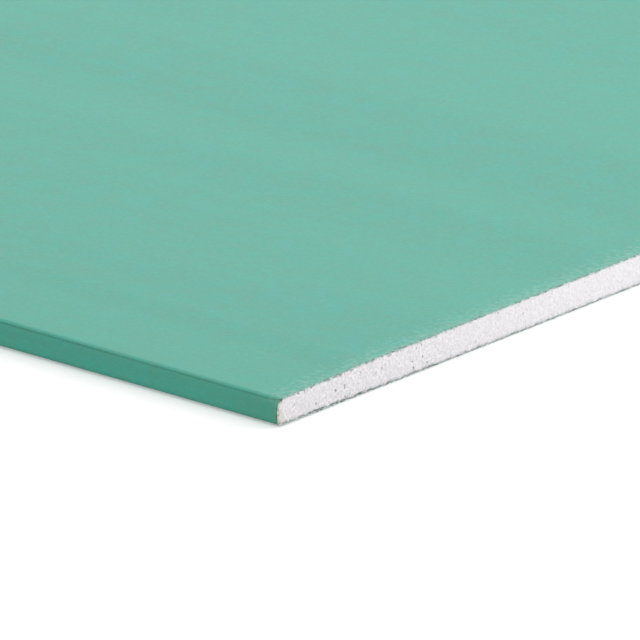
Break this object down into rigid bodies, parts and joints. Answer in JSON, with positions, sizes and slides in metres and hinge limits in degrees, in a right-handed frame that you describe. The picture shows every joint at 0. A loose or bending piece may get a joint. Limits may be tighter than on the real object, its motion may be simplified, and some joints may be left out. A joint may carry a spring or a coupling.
{
  "type": "drywall sheet",
  "caption": "Moisture-resistant drywall sheet: a gypsum core wrapped in green face paper, with tapered long edges, square-sawn ends and a grey back paper.",
  "frame": {"origin": "middle of the back, on the plane that the sheet lies on", "axes": "+X along the sheet's length, +Y across its width, +Z out of the green face"},
  "size_m": [2.5, 1.2, 0.0125],
  "materials": {
    "gypsum": "matte, porous and sawn",
    "green_face_paper": "smooth sized paper, matte",
    "grey_back_paper": "rough recycled paper, matte"
  },
  "bodies": {
    "root": {"gypsum_core": "gypsum", "face_paper": "green_face_paper", "back_paper": "grey_back_paper"}
  },
  "joints": []
}
